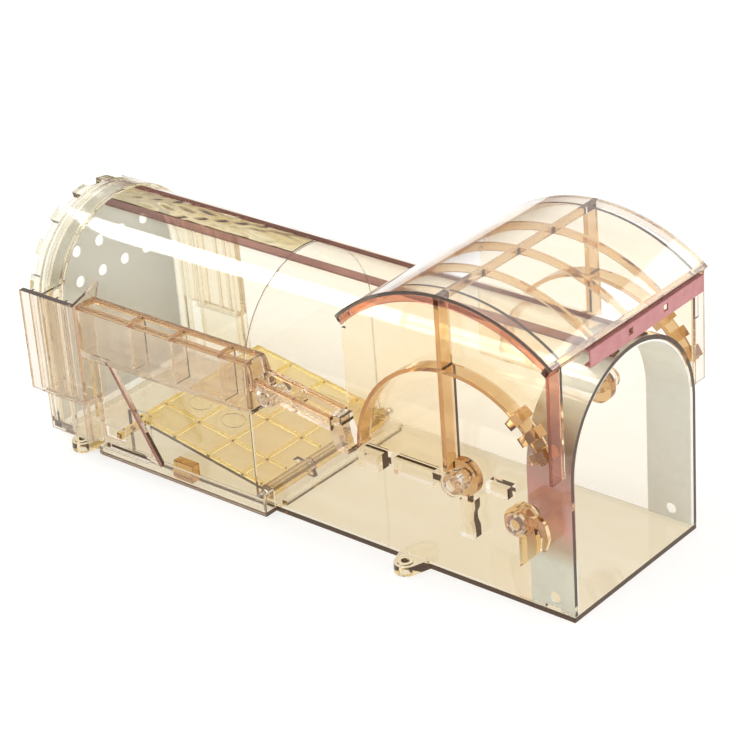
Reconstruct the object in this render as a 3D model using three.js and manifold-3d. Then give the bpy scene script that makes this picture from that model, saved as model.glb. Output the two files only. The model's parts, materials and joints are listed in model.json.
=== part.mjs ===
// Live catch trap: a clear tunnel, a drop hood that closes its mouth, and the treadle that trips it.
// Millimetres. +X runs along the tunnel to its mouth, +Y across it, +Z up. The origin is on the base,
// under the middle of the tunnel. The near side, with the trip lever and the lock pawl, is -Y.

import * as THREE from 'three';
import { mergeVertices } from 'three/addons/utils/BufferGeometryUtils.js';
import Module from 'manifold-3d';

const wasm = await Module();
wasm.setup();

// ---- driving dimensions -------------------------------------------------------------------------
const GAP = 0.3;                    // between two pieces that touch
const RUN = 0.3;                    // radial clearance of a pin in its bore

// tunnel: upright walls and a half-round roof on a flat base plate
const HALF_W = 45;                  // outside, half the width
const ROOF_Z = 65;                  // centre of the half-round roof
const WALL = 2;
const BASE_T = 2.5;
const MOUTH_X = 150;
const SEAM_X = -25;                 // where the two tunnel mouldings meet
const REAR_X = -148;
const COLLAR_L = 9;
const COLLAR_T = 1.6;
const ARCH_STEPS = 20;
const LUG_XS = [66, -130];
const LUG = { reach: 12, half: 8.5, thick: 4.5, holeR: 1.9 };

// entrance liner, sheet metal bent to the tunnel's inside
const LINER_L = 23;
const LINER_T = 0.8;
const LINER_HOLE = { x: 139, z: 8, r: 2.6 };

// hood: a sector of a drum about its pivot
const PIVOT_X = 98;
const PIVOT_Z = 55;
const HOOD_R = 85;
const HOOD_T = 1.6;
const HOOD_HALF_W = 55;
const HOOD_FRONT_DEG = 52;
const HOOD_REAR_DEG = 134;
const SIDE_Y = 46.3;                // inner face of the hood's side walls
const SIDE_T = 1.6;
const SIDE_REAR = -62;              // from the pivot, along X
const SIDE_FRONT = 50.4;
const SIDE_LOW = -1;                // from the pivot, up
const LEG_LOW = 14;
const LEG_BACK = 44;
const FLANGE_T = 1.6;
const RIB_T = 1.8;
const RIB_INNER_R = 80.2;
const ARC_RIB_YS = [-24, 0, 24];
const SPOKE = [-5.4, -3];           // the spoke's faces, from the pivot along X
const RING_R = 50;                  // flange round the pivot on each side wall
const RING_T = 1.8;
const RING_DEGS = [26, 178];
const TOOTH_DEGS = [50, 40, 30];
const TOOTH_RS = [45.6, 54.6];
const TOOTH_HALF_DEG = 2.6;
const BOSS_R = 8.4;
const BOSS_Y = 50;
const STRIP = { x: 151.4, depth: 3.2, y0: -31, y1: 50, z0: 112.8, z1: 120.4, t: 0.8, hole: 3 };

// hollow pivot pins of the hood and the pawl
const PIN_R = 3;
const PIN_SLEEVE_R = 4.6;
const PIN_RIM_R = 5.3;
const PIN_BORE_R = 2.4;
const PIN_END_Y = 57.5;

// lock pawl
const PAWL_X = 130.5;
const PAWL_Z = 47;
const PAWL_HUB_R = 7;

// trip lever
const LEVER_X = 0;
const LEVER_Z = 68;
const LEVER_YS = [-60, -48.3];
const LEVER_WALL = 1.5;
const LEVER_REAR_X = -114;
const LEVER_STEP_X = -9;
const LEVER_NOSE_X = 43.6;
const LEVER_LOW_Z = 56;
const LEVER_TOP_Z = 83;
const LEVER_PIN_R = 2;
const LEVER_BOSS_R = 4.2;
const LEVER_LEG = [[-109, 58], [-99, 58], [-71.5, 12.5], [-71.5, 11], [-84, 13.5], [-109, 14]];
const DEEP_RIBS = [-80.5, -55, -26];
const SHALLOW_RIBS = [15];

// treadle
const TREADLE_X = -21;
const TREADLE_Z = 6.5;
const TREADLE_TILT_DEG = 9.5;
const TREADLE_L = 80;
const TREADLE_HALF_W = 41.5;
const TREADLE_T = 1.6;
const TREADLE_RIB_YS = [-40.7, -24, 0, 24, 40.7];
const TREADLE_RIB_XS = [-79.2, -58, -37, -16];
const SHAFT_R = 1.6;
const ARM_AT = -76.5;               // the arm's middle, from the shaft
const ARM_T = 3;
const ARM_END_Y = -59;

// rear cap
const CAP_REAR_X = -160;
const CAP_STEP_X = -152;
const CAP_WALL_R = 43.5;
const CAP_LOBE_R = 46.3;
const CAP_LOBE_HALF_DEG = 4.8;
const CAP_LOBE_DEGS = [14, 36, 58, 80, 100, 122, 144, 166];
const SCREEN_INSET = 3.6;           // the screen's seat, in from the tunnel's outside
const SCREEN_YS = [-36, -21, -6, 9, 24];
const SCREEN_ZS = [69, 84.5];
const SCREEN_HOLE_R = 2.7;
const SCREEN_T = 0.8;

// guards
const GUARD_XS = [-151, -116];
const GUARD_CLEAR = COLLAR_T + GAP;

// ---- colours ------------------------------------------------------------------------------------
const finish = (color, roughness, metalness) => () => (
  new THREE.MeshStandardMaterial({ color, roughness, metalness }));
const clearAmber = finish(0xe6cf9f, 0.08, 0);
const deepAmber = finish(0xc79a5e, 0.1, 0);
const steel = finish(0xc4c3b4, 0.32, 1);
const roseMetal = finish(0xc08d98, 0.4, 1);

// ---- helpers ------------------------------------------------------------------------------------
const rad = THREE.MathUtils.degToRad;

function solid(geometry) {
  const bare = geometry.index ? geometry.toNonIndexed() : geometry.clone();
  bare.deleteAttribute('normal');
  bare.deleteAttribute('uv');
  const merged = mergeVertices(bare, 1e-4);
  return new wasm.Manifold(new wasm.Mesh({
    numProp: 3,
    vertProperties: new Float32Array(merged.attributes.position.array),
    triVerts: new Uint32Array(merged.index.array),
  }));
}

function toGeometry(body) {
  const mesh = body.getMesh();
  const geometry = new THREE.BufferGeometry();
  geometry.setAttribute('position', new THREE.BufferAttribute(new Float32Array(mesh.vertProperties), 3));
  geometry.setIndex(new THREE.BufferAttribute(new Uint32Array(mesh.triVerts), 1));
  geometry.computeVertexNormals();
  return geometry;
}

function piece(name, body, material) {
  const mesh = new THREE.Mesh(toGeometry(body), material);
  mesh.name = name;
  return mesh;
}

const join = (...bodies) => bodies.flat().reduce((sum, body) => sum.add(body));
const cut = (body, ...tools) => tools.flat().reduce((rest, tool) => rest.subtract(tool), body);

function extrude(shape, depth, steps) {
  return new THREE.ExtrudeGeometry(shape, { depth, bevelEnabled: false, curveSegments: steps });
}

// an outline in X and Z, extruded across from y0 to y1
function acrossY(shape, y0, y1, steps = ARCH_STEPS) {
  return solid(extrude(shape, y1 - y0, steps).rotateX(Math.PI / 2).translate(0, y1, 0));
}

// an outline in Y and Z, extruded along from x0 to x1
function alongX(shape, x0, x1, steps = ARCH_STEPS) {
  const axes = new THREE.Matrix4().makeBasis(
    new THREE.Vector3(0, 1, 0), new THREE.Vector3(0, 0, 1), new THREE.Vector3(1, 0, 0));
  return solid(extrude(shape, x1 - x0, steps).applyMatrix4(axes).translate(x0, 0, 0));
}

// an outline in X and Y, extruded up from z0 to z1
function upZ(shape, z0, z1, steps = 12) {
  return solid(extrude(shape, z1 - z0, steps).translate(0, 0, z0));
}

function block(x0, x1, y0, y1, z0, z1) {
  const box = new THREE.BoxGeometry(x1 - x0, y1 - y0, z1 - z0);
  return solid(box.translate((x0 + x1) / 2, (y0 + y1) / 2, (z0 + z1) / 2));
}

function rodY(x, z, r, y0, y1, sides = 20) {
  return solid(new THREE.CylinderGeometry(r, r, y1 - y0, sides).translate(x, (y0 + y1) / 2, z));
}

function outline(points) {
  return new THREE.Shape(points.map(([a, b]) => new THREE.Vector2(a, b)));
}

// a ring sector about (a, b), from angle a0 to a1
function sector(a, b, r0, r1, a0, a1) {
  const shape = new THREE.Shape();
  shape.absarc(a, b, r1, rad(a0), rad(a1), false);
  shape.absarc(a, b, r0, rad(a1), rad(a0), true);
  shape.closePath();
  return shape;
}

// the tunnel's section, drawn in by `inset` from its outside, from `low` up
function horseshoe(inset, low) {
  const r = HALF_W - inset;
  const shape = new THREE.Shape();
  shape.moveTo(-r, low);
  shape.lineTo(r, low);
  shape.absarc(0, ROOF_Z, r, 0, Math.PI, false);
  shape.closePath();
  return shape;
}

const mirrorY = (body) => body.mirror([0, 1, 0]);
const bothSides = (body) => join(body, mirrorY(body));

// ---- base plate and tunnel ----------------------------------------------------------------------
function lug(x) {
  const out = -HALF_W - LUG.reach;
  const shape = outline([
    [x - LUG.half, -HALF_W + 1], [x - LUG.half + 2, out + 5], [x - 4, out],
    [x + 4, out], [x + LUG.half - 2, out + 5], [x + LUG.half, -HALF_W + 1],
  ]);
  const hole = new THREE.CylinderGeometry(LUG.holeR, LUG.holeR, 3 * LUG.thick, 14);
  hole.rotateX(Math.PI / 2).translate(x, out + 5, LUG.thick / 2);
  const wallSeat = block(x - 10, x + 10, -HALF_W - GAP, 0, BASE_T, 3 * BASE_T);
  return cut(upZ(shape, 0, LUG.thick), solid(hole), wallSeat);
}

// the treadle's shaft turns in two ears that stand on the plate
function shaftEar(y) {
  const shape = outline([
    [TREADLE_X - 4, BASE_T - 1], [TREADLE_X + 5, BASE_T - 1],
    [TREADLE_X + 3, TREADLE_Z + 3.4], [TREADLE_X - 3, TREADLE_Z + 3.4],
  ]);
  return cut(acrossY(shape, y - 1.2, y + 1.2),
    rodY(TREADLE_X, TREADLE_Z, SHAFT_R + RUN, y - 3, y + 3, 16));
}

function basePlate() {
  const plate = block(REAR_X, MOUTH_X, -HALF_W, HALF_W, 0, BASE_T);
  const sill = block(SEAM_X + 12, SEAM_X + 15, -HALF_W + 4, HALF_W - 4, BASE_T - 1, BASE_T + 2);
  return join(plate, sill, LUG_XS.map(lug), [-14, 14].map(shaftEar));
}

function tunnelShell(x0, x1) {
  return cut(
    alongX(horseshoe(0, BASE_T + GAP), x0, x1),
    alongX(horseshoe(WALL, -BASE_T), x0 - 1, x1 + 1));
}

// blocks on the near wall: the hood's side wall rests on two and its spoke lands on the third
function hoodStops() {
  const y0 = -50.5;
  const y1 = -HALF_W + 0.5;
  const notched = outline([
    [PIVOT_X - 1.5, 27], [PIVOT_X + 5, 27], [PIVOT_X + 5, 32], [PIVOT_X + 3.6, 35],
    [PIVOT_X + 3.6, 38], [PIVOT_X + 5, 41], [PIVOT_X + 5, 45], [PIVOT_X - 1.5, 45],
  ]);
  return [
    block(PIVOT_X - 36, PIVOT_X - 15, y0, y1, PIVOT_Z - 9, PIVOT_Z + SIDE_LOW - 0.5),
    block(PIVOT_X + 13, PIVOT_X + 24, y0, y1, PIVOT_Z - 2.5, PIVOT_Z - SPOKE[1] - 0.5),
    block(PIVOT_X - 53, PIVOT_X - 42, -53.5, y1, PIVOT_Z - 9, PIVOT_Z + SIDE_LOW - 0.5),
    acrossY(notched, y0, y1),
  ];
}

function tunnelFront() {
  const shell = join(tunnelShell(SEAM_X, MOUTH_X), hoodStops());
  const nearWall = [-HALF_W - 9, -HALF_W + WALL + 1];
  return cut(shell,
    rodY(PIVOT_X, PIVOT_Z, PIN_R + RUN, -HALF_W - 1, HALF_W + 1),
    rodY(PAWL_X, PAWL_Z, PIN_R + RUN, ...nearWall),
    rodY(LEVER_X, LEVER_Z, LEVER_PIN_R + RUN, ...nearWall),
    rodY(TREADLE_X, TREADLE_Z, SHAFT_R + RUN, -HALF_W - 1, HALF_W + 1, 16),
    block(MOUTH_X - 15, MOUTH_X - 7, ...nearWall, 0, BASE_T + 2));
}

function tunnelRear() {
  const x1 = SEAM_X - GAP;
  const collar = cut(
    alongX(horseshoe(-COLLAR_T, BASE_T + GAP), REAR_X, REAR_X + COLLAR_L),
    alongX(horseshoe(WALL, -BASE_T), REAR_X - 1, REAR_X + COLLAR_L + 1));
  const armX = TREADLE_X + ARM_AT;
  const slot = block(armX - 5, armX + 7, -HALF_W - 3, -HALF_W + WALL + 1, 4, 26);
  return cut(join(tunnelShell(REAR_X, x1), collar), slot);
}

function entranceLiner() {
  const inset = WALL + GAP;
  const low = BASE_T + GAP;
  const band = cut(
    alongX(horseshoe(inset, low), MOUTH_X - LINER_L, MOUTH_X - 0.5),
    alongX(horseshoe(inset + LINER_T, -BASE_T), MOUTH_X - LINER_L - 1, MOUTH_X + 1));
  return cut(band, rodY(LINER_HOLE.x, LINER_HOLE.z, LINER_HOLE.r, -HALF_W, HALF_W));
}

// ---- rear end -----------------------------------------------------------------------------------
function rearCap() {
  const low = BASE_T + GAP;
  const flange = alongX(horseshoe(-COLLAR_T, low), CAP_STEP_X - 1.4, REAR_X - GAP);
  const plug = alongX(horseshoe(WALL + GAP, low), REAR_X - 1, REAR_X + 5);
  const wall = alongX(horseshoe(HALF_W - CAP_WALL_R, low), CAP_REAR_X, CAP_STEP_X + 1);
  const lobes = CAP_LOBE_DEGS.map((deg) => alongX(
    sector(0, ROOF_Z, 42, CAP_LOBE_R, deg - CAP_LOBE_HALF_DEG, deg + CAP_LOBE_HALF_DEG),
    CAP_REAR_X, CAP_REAR_X + 6, 3));
  const seat = alongX(horseshoe(SCREEN_INSET, BASE_T + 2), CAP_STEP_X, REAR_X + 6);
  const window = alongX(horseshoe(7.5, BASE_T + 5.5), CAP_STEP_X - 2, CAP_STEP_X + 1);
  const recess = alongX(horseshoe(SCREEN_INSET, BASE_T + 2), CAP_REAR_X - 1, CAP_STEP_X - 1.5);
  return cut(join(flange, plug, wall, lobes), seat, window, recess);
}

function rearScreen() {
  const x0 = CAP_STEP_X + GAP;
  const inset = SCREEN_INSET + GAP;
  const plate = alongX(horseshoe(inset, BASE_T + 2 + GAP), x0, x0 + SCREEN_T);
  const holes = SCREEN_ZS.flatMap((z) => SCREEN_YS
    .filter((y) => Math.hypot(y, z - ROOF_Z) + SCREEN_HOLE_R < HALF_W - inset - 1)
    .map((y) => {
      const hole = new THREE.CylinderGeometry(SCREEN_HOLE_R, SCREEN_HOLE_R, 6, 12);
      return solid(hole.rotateZ(Math.PI / 2).translate(x0, y, z));
    }));
  return cut(plate, join(holes));
}

// a box-shaped guard beside the tunnel's rear end; `out` is how far it stands from the middle
function rearGuard(out, low, high) {
  const [x0, x1] = GUARD_XS;
  const panel = block(x0, x1, -out, -out + 3, low, high);
  const lowPanel = block(x0 + 8, x1, -out + 2, -out + 3.6, low - 20, low + 1);
  const shelf = block(x0 + 8, x1, -out + 1, -HALF_W, low, low + 1.6);
  const end = outline([
    [-out, low - 20], [-HALF_W, low - 20], [-HALF_W + 8, high + 6], [-HALF_W + 4, high + 6], [-out, high],
  ]);
  const frontWall = alongX(end, x1 - 1.6, x1);
  const rearWall = block(x0 + 12, x0 + 13.6, -out + 1, -HALF_W, low, high);
  return cut(join(panel, lowPanel, shelf, frontWall, rearWall),
    alongX(horseshoe(-GUARD_CLEAR, -1), REAR_X - 6, SEAM_X));
}

// ---- treadle ------------------------------------------------------------------------------------
// drawn level, with its shaft on the origin; the group below lifts its free end
function treadle() {
  const half = TREADLE_T / 2;
  const plate = block(-TREADLE_L, 0, -TREADLE_HALF_W, TREADLE_HALF_W, -half, half);
  const side = TREADLE_HALF_W;
  const ribTop = half + 1.4;
  const along = TREADLE_RIB_YS.map((y) => block(-TREADLE_L, -3, y - half, y + half, 0, ribTop));
  const across = TREADLE_RIB_XS.map((x) => block(x - half, x + half, -side, side, 0, ribTop));
  const arm = block(ARM_AT - ARM_T / 2, ARM_AT + ARM_T / 2, ARM_END_Y, -side + 4, -half, ARM_T - half);
  const barrel = rodY(0, 0, SHAFT_R + RUN + TREADLE_T, -side, side);
  const earRoom = [-14, 14].map((y) => block(-7.5, 8, y - 1.8, y + 1.8, -8, 8));
  const bore = rodY(0, 0, SHAFT_R + RUN, -side - 1, side + 1, 16);
  return cut(join(plate, along, across, arm, barrel), earRoom, bore);
}

const treadleShaft = () => rodY(TREADLE_X, TREADLE_Z, SHAFT_R, -49, 47.5, 16);

// a low channel outside the near wall that covers the shaft's end and the treadle's edge
function treadleGuard() {
  const [x0, x1] = [-119, -14];
  const skirt = outline([[x0, 0], [x1, 0], [x1, 8], [-82, 8], [-88, 4.5], [x0, 4.5]]);
  const wall = acrossY(skirt, -52, -50.5);
  const sole = block(x0, x1, -51, -HALF_W - GAP, 0, 1.5);
  const frontEnd = block(x1 - 1.6, x1, -51, -HALF_W - GAP, 0, 11);
  const rearEnd = block(x0, x0 + 1.6, -51, -HALF_W - GAP, 0, 4.5);
  return join(wall, sole, frontEnd, rearEnd);
}

const treadleStop = () => block(-72, -60, -50.2, -HALF_W - GAP, 1.8, 10.5);

// ---- trip lever ---------------------------------------------------------------------------------
const leverTop = (x) => 76 - 0.14 * (x - LEVER_STEP_X);

function leverPocket(x0, x1, low) {
  const room = outline([[x0, low(x0)], [x1, low(x1)], [x1, 100], [x0, 100]]);
  return acrossY(room, LEVER_YS[0] + LEVER_WALL, LEVER_YS[1] - LEVER_WALL);
}

function tripLever() {
  const [y0, y1] = LEVER_YS;
  const frontX = 36.5;
  const side = outline([
    [LEVER_REAR_X, LEVER_LOW_Z], [LEVER_STEP_X, LEVER_LOW_Z + 1.5],
    [LEVER_STEP_X, leverTop(LEVER_STEP_X) - 6.5], [frontX, leverTop(frontX) - 6.5],
    [frontX, leverTop(frontX)], [LEVER_STEP_X + 3, leverTop(LEVER_STEP_X + 3)],
    [LEVER_STEP_X, LEVER_TOP_Z + 0.5], [LEVER_REAR_X, LEVER_TOP_Z - 0.5],
  ]);
  const ribHalf = LEVER_WALL / 2;
  const pockets = [];
  const deep = [LEVER_REAR_X + ribHalf, ...DEEP_RIBS, LEVER_STEP_X - ribHalf];
  for (let i = 1; i < deep.length; i += 1) {
    pockets.push(leverPocket(deep[i - 1] + ribHalf, deep[i] - ribHalf, () => LEVER_LOW_Z + 3));
  }
  const shallow = [LEVER_STEP_X + 6, ...SHALLOW_RIBS, frontX - ribHalf];
  for (let i = 1; i < shallow.length; i += 1) {
    pockets.push(leverPocket(shallow[i - 1] + ribHalf, shallow[i] - ribHalf, (x) => leverTop(x) - 5));
  }
  const boss = rodY(LEVER_X, LEVER_Z, LEVER_BOSS_R, y0, y1);
  const nose = outline([
    [frontX - 1, leverTop(frontX)], [frontX - 1, 57], [frontX + 1, 53], [LEVER_NOSE_X, 53],
    [LEVER_NOSE_X, 60], [LEVER_NOSE_X - 2.5, 66], [LEVER_NOSE_X - 2.5, leverTop(frontX)],
  ]);
  const legX = TREADLE_X + ARM_AT;
  const leg = cut(
    acrossY(outline(LEVER_LEG), -58.2, -56.2),
    block(legX - 8.5, legX + 4.2, -60, -55, 16.6, 22.6));
  const stem = acrossY(outline([[-109, 58], [-105.5, 58], [-105.5, 25], [-109, 25]]), y0, -56.2);
  return cut(join(acrossY(side, y0, y1), boss, acrossY(nose, -58, -50.2), leg, stem), pockets,
    rodY(LEVER_X, LEVER_Z, LEVER_PIN_R + RUN, y0 - 1, y1 + 1));
}

function leverPin() {
  return join(
    rodY(LEVER_X, LEVER_Z, LEVER_PIN_R, -61, -HALF_W + WALL),
    rodY(LEVER_X, LEVER_Z, LEVER_PIN_R + 1, -61.8, LEVER_YS[0] - GAP));
}

// ---- hood ---------------------------------------------------------------------------------------
const drum = (r0, r1, a0 = HOOD_FRONT_DEG, a1 = HOOD_REAR_DEG) => (
  sector(PIVOT_X, PIVOT_Z, r0, r1, a0, a1));
const hoodX = (x) => PIVOT_X + x;
const hoodZ = (z) => PIVOT_Z + z;

function hoodSideWall() {
  const under = HOOD_R - HOOD_T / 2;
  const y0 = -SIDE_Y - SIDE_T;
  const plate = block(hoodX(-59.5), hoodX(SIDE_FRONT), y0, -SIDE_Y, hoodZ(SIDE_LOW), hoodZ(HOOD_R))
    .intersect(rodY(PIVOT_X, PIVOT_Z, under, y0 - 1, -SIDE_Y + 1, 96));
  const rearStrip = block(hoodX(SIDE_REAR), hoodX(-59), y0, -SIDE_Y, hoodZ(SIDE_LOW), hoodZ(52));
  const window = acrossY(drum(0.01, RING_R + 0.4, -20, 88), y0 - 1, -SIDE_Y + 1);
  const windowBack = block(
    hoodX(SPOKE[1]), hoodX(3), y0 - 1, -SIDE_Y + 1, hoodZ(-5), hoodZ(RING_R + 0.2));
  const below = block(hoodX(0), hoodX(60), y0 - 1, -SIDE_Y + 1, hoodZ(-5), hoodZ(LEG_LOW));
  const leg = block(hoodX(LEG_BACK), hoodX(SIDE_FRONT), y0, -SIDE_Y, hoodZ(LEG_LOW), hoodZ(40));
  return join(cut(join(plate, rearStrip), window, windowBack, below), leg);
}

// everything that stands out from one side wall to the rim
function hoodFlanges() {
  const y0 = -HOOD_HALF_W;
  const y1 = -SIDE_Y - SIDE_T / 2;
  const ring = acrossY(drum(RING_R, RING_R + RING_T, ...RING_DEGS), y0, y1, 28);
  const teeth = TOOTH_DEGS.map((deg) => acrossY(
    drum(...TOOTH_RS, deg - TOOTH_HALF_DEG, deg + TOOTH_HALF_DEG), y0, y1, 2));
  const spoke = block(hoodX(SPOKE[0]), hoodX(SPOKE[1]), y0, y1, hoodZ(4), hoodZ(HOOD_R - 2));
  const legFlange = block(
    hoodX(SIDE_FRONT - FLANGE_T), hoodX(SIDE_FRONT), y0, y1, hoodZ(LEG_LOW), hoodZ(66));
  const boss = rodY(PIVOT_X, PIVOT_Z, BOSS_R, -BOSS_Y, -SIDE_Y, 24);
  const rim = acrossY(drum(RIB_INNER_R, HOOD_R - HOOD_T / 2), y0, y0 + FLANGE_T);
  return join(ring, teeth, spoke, legFlange, boss, rim);
}

function hood() {
  const sheet = acrossY(drum(HOOD_R - HOOD_T, HOOD_R), -HOOD_HALF_W, HOOD_HALF_W);
  const ribs = ARC_RIB_YS.map((y) => acrossY(
    drum(RIB_INNER_R, HOOD_R - HOOD_T / 2), y - RIB_T / 2, y + RIB_T / 2));
  const spine = block(hoodX(SPOKE[0]), hoodX(SPOKE[1]), -HOOD_HALF_W, HOOD_HALF_W,
    hoodZ(RIB_INNER_R), hoodZ(HOOD_R - HOOD_T / 2));
  const lip = acrossY(drum(79.4, HOOD_R - HOOD_T / 2, HOOD_FRONT_DEG, HOOD_FRONT_DEG + 2),
    -HOOD_HALF_W, HOOD_HALF_W, 2);
  const rearLip = acrossY(drum(81.6, HOOD_R - HOOD_T / 2, HOOD_REAR_DEG - 1.2, HOOD_REAR_DEG),
    -HOOD_HALF_W, HOOD_HALF_W, 2);
  const shape = join(sheet, ribs, spine, lip, rearLip, bothSides(join(hoodSideWall(), hoodFlanges())));
  const stripRoom = block(
    STRIP.x - STRIP.depth - GAP, 170, STRIP.y0 - GAP, STRIP.y1 + GAP, 100, STRIP.z1 + GAP);
  return cut(shape, stripRoom,
    rodY(PIVOT_X, PIVOT_Z, PIN_R + RUN, -HOOD_HALF_W - 1, HOOD_HALF_W + 1));
}

// sheet-metal channel along the hood's leading edge, with two square holes
function hoodLipStrip() {
  const { x, depth, y0, y1, z0, z1, t, hole } = STRIP;
  const middle = (y0 + y1) / 2;
  const half = hole / 2;
  const holeZ = (z0 + z1) / 2 + 0.4;
  const channel = block(x - depth - 1, x - t, y0 - 1, y1 + 1, z0 + t, z1 - t);
  const holes = [-12.5, 12.5].map((y) => block(
    x - 2 * t, x + t, middle + y - half, middle + y + half, holeZ - half, holeZ + half));
  return cut(block(x - depth, x, y0, y1, z0, z1), channel, holes);
}

// a hollow pin: a thin end in the wall, a thicker sleeve outside and a rim at its open end
function hollowPin(x, z, boreDepth, sleeveY) {
  const body = join(
    rodY(x, z, PIN_R, -sleeveY - 1, -HALF_W + WALL),
    rodY(x, z, PIN_SLEEVE_R, -PIN_END_Y, -sleeveY, 24),
    rodY(x, z, PIN_RIM_R, -PIN_END_Y, -PIN_END_Y + 1.8, 24));
  return cut(body, rodY(x, z, PIN_BORE_R, -PIN_END_Y - 1, -PIN_END_Y + boreDepth, 24));
}

const hoodPin = () => hollowPin(PIVOT_X, PIVOT_Z, 6, BOSS_Y + GAP);

// ---- lock pawl ----------------------------------------------------------------------------------
// drawn about its own pin: a blade that drops behind the hood's teeth, and a finger to lift it
function lockPawl() {
  const blade = outline([[-0.5, -2], [-0.5, -21.4], [0.8, -20.4], [8, -12.8], [8.6, -7], [7, 0]]);
  const finger = outline([
    [0, -3], [5, 4.5], [11, 7], [15, 5], [16.5, -2], [14.5, -8], [12.5, -8], [13, -2], [11, 2], [7, 1],
  ]);
  const rimRoom = rodY(0, 0, PIN_RIM_R + RUN, -60, -55.3, 24);
  const body = join(
    acrossY(blade, -54.5, -50.6),
    acrossY(finger, -57.4, -55.3).subtract(rimRoom),
    acrossY(finger, -55.4, -54.8).intersect(rodY(0, 0, PAWL_HUB_R, -56, -54)),
    rodY(0, 0, PAWL_HUB_R, -55.3, -49.6, 24));
  return cut(body, rodY(0, 0, PIN_SLEEVE_R + RUN, -60, -40, 24));
}

const pawlPin = () => hollowPin(PAWL_X, PAWL_Z, 8, 47);

// ---- assembly -----------------------------------------------------------------------------------
const trap = new THREE.Group();

const frame = new THREE.Group();
frame.add(
  piece('base_plate', basePlate(), clearAmber()),
  piece('tunnel_front', tunnelFront(), clearAmber()),
  piece('tunnel_rear', tunnelRear(), clearAmber()),
  piece('entrance_liner', entranceLiner(), steel()),
  piece('rear_guard_near', rearGuard(60, 30, 81), clearAmber()),
  piece('rear_guard_far', mirrorY(rearGuard(54, 30, 78)), clearAmber()),
  piece('treadle_guard', treadleGuard(), clearAmber()),
  piece('treadle_stop', treadleStop(), deepAmber()),
  piece('treadle_shaft', treadleShaft(), steel()),
  piece('lever_pin', leverPin(), deepAmber()),
  piece('hood_pin_near', hoodPin(), clearAmber()),
  piece('hood_pin_far', mirrorY(hoodPin()), clearAmber()),
  piece('pawl_pin', pawlPin(), clearAmber()),
);
trap.add(frame);

const rearEnd = new THREE.Group();
rearEnd.add(
  piece('rear_cap', rearCap(), deepAmber()),
  piece('rear_screen', rearScreen(), steel()),
);
trap.add(rearEnd);

const hoodGroup = new THREE.Group();
hoodGroup.add(
  piece('hood', hood(), clearAmber()),
  piece('hood_lip_strip', hoodLipStrip(), roseMetal()),
);
trap.add(hoodGroup);

trap.add(piece('trip_lever', tripLever(), clearAmber()));

const treadleGroup = new THREE.Group();
treadleGroup.position.set(TREADLE_X, 0, TREADLE_Z);
treadleGroup.rotation.y = rad(TREADLE_TILT_DEG);
treadleGroup.add(piece('treadle', treadle(), clearAmber()));
trap.add(treadleGroup);

const pawlGroup = new THREE.Group();
pawlGroup.position.set(PAWL_X, 0, PAWL_Z);
pawlGroup.add(piece('lock_pawl', lockPawl(), deepAmber()));
trap.add(pawlGroup);

export default trap;
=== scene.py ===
import json
import math

import bmesh
import bpy
import numpy as np
from mathutils import Matrix, Vector


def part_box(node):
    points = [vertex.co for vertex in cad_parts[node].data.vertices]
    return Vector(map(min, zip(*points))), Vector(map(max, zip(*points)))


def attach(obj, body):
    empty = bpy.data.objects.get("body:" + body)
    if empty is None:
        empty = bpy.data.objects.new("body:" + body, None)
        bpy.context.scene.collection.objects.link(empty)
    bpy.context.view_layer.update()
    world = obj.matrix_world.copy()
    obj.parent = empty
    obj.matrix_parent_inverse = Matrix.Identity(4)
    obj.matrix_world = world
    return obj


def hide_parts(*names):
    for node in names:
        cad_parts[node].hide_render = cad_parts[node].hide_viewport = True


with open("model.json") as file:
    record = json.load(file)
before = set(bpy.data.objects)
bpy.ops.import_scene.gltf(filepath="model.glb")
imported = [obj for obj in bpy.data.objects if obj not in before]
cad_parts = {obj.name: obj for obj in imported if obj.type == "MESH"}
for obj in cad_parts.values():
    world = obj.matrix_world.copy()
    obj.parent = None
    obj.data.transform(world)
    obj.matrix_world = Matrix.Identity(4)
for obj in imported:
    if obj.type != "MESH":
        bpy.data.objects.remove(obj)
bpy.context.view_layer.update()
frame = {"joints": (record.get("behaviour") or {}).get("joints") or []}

# A live catch trap in clear amber plastic. The object's lengths are millimetres, and MM turns them
# into metres; the floor, lights and camera are in metres. +X runs to the mouth, -Y is the near side.
MM = 0.001


# ---- places and driving sizes, from the frame -----------------------------------------------------
def box(node):
    low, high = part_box(node)
    return low / MM, high / MM


def pivot(joint):
    found = next(j for j in frame["joints"] if j["name"] == joint)
    return Vector(found["pos_m"]) / MM


GAP = 0.3                       # between two pieces that touch
RUN = 0.3                       # radial clearance of a pin in its bore

FRONT_LOW, FRONT_HIGH = box("tunnel_front")
REAR_LOW, REAR_HIGH = box("tunnel_rear")
HALF_W = FRONT_HIGH.y
ROOF_Z = FRONT_HIGH.z - HALF_W
WALL = 2.0
BASE_T = FRONT_LOW.z - GAP
MOUTH_X = FRONT_HIGH.x
SEAM_X = FRONT_LOW.x
REAR_X = REAR_LOW.x
COLLAR_T = REAR_HIGH.y - HALF_W
COLLAR_L = 9.0
LUG_XS = (66, -130)
EAR_YS = (-14, 14)              # the ears that hold the treadle's shaft
LINER_L = 23.0
LINER_T = 0.8
LINER_HOLE = {"x": 139, "z": 8, "r": 2.6}

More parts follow.
